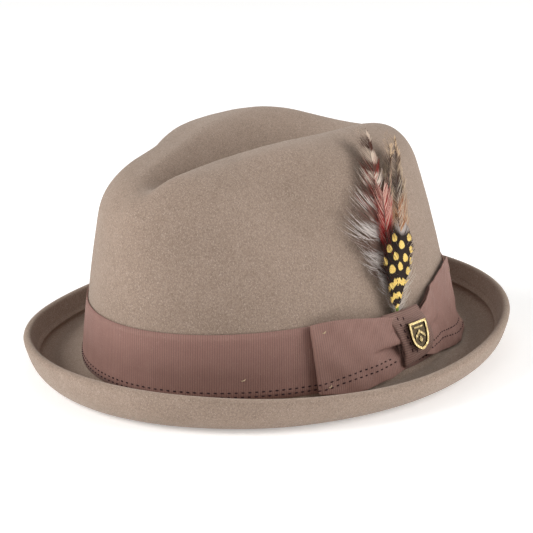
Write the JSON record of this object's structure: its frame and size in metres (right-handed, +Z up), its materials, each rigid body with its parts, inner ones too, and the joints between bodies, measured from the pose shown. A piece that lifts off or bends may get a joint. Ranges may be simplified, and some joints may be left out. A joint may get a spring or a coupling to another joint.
{
  "type": "fedora hat",
  "caption": "Felt fedora with a short turned-up brim, centre-dent crown, ribbon band with a side bow, a shield badge and a feather bunch.",
  "frame": {"origin": "centre of the bounding box on the surface that the brim rests on", "axes": "+Z up, -Y to the front of the hat, +X to the wearer's left, the side of the bow and feathers"},
  "size_m": [0.2298, 0.2683, 0.1223],
  "materials": {
    "felt": "taupe wool felt, short nap",
    "felt_thread": "fine thread",
    "band_ribbon": "grosgrain, fine upright ribs",
    "bow_ribbon": "grosgrain",
    "knot_ribbon": "grosgrain",
    "plum_thread": "dark plum thread",
    "tack_thread": "brown thread",
    "antique_brass": "antiqued, dark recess",
    "quill": "bare feather shaft",
    "green_thread": "waxed thread",
    "brown_feather": "brown and black barbs",
    "grizzly_feather": "barred grey barbs",
    "red_feather": "dyed red barbs",
    "guinea_feather": "black with yellow spots",
    "sweatband_cotton": "cotton twill",
    "reed_tape": "cotton tape",
    "satin_ribbon": "satin",
    "satin": "satin",
    "satin_piping": "satin cord"
  },
  "bodies": {
    "hat": {"felt_body": "felt", "welt_stitching": "felt_thread", "hat_band": "band_ribbon", "band_stitching": "plum_thread", "band_tacks": "tack_thread", "bow_front_loop": "bow_ribbon", "bow_rear_loop": "bow_ribbon", "bow_waist": "bow_ribbon", "bow_knot": "knot_ribbon", "knot_stitching": "plum_thread", "badge_shield": "antique_brass", "badge_emblem": "antique_brass", "badge_prongs": "antique_brass", "sweatband": "sweatband_cotton", "sweatband_reed": "reed_tape", "sweatband_tape": "reed_tape", "sweatband_stitching": "tack_thread", "sweatband_bow": "satin_ribbon", "lining_side": "satin", "lining_piping": "satin_piping", "lining_tip": "satin"},
    "feather_bunch": {"feather_stems": "quill", "feather_binding": "green_thread", "brown_hackle": "brown_feather", "grizzly_hackle": "grizzly_feather", "red_hackle": "red_feather", "guinea_feather": "guinea_feather"}
  },
  "joints": [
    {"name": "feather_draw", "type": "slide", "parent": "hat", "child": "feather_bunch", "axis": [-0.1886, 0.1378, 0.9723], "range_m": [0, 0.06]}
  ]
}
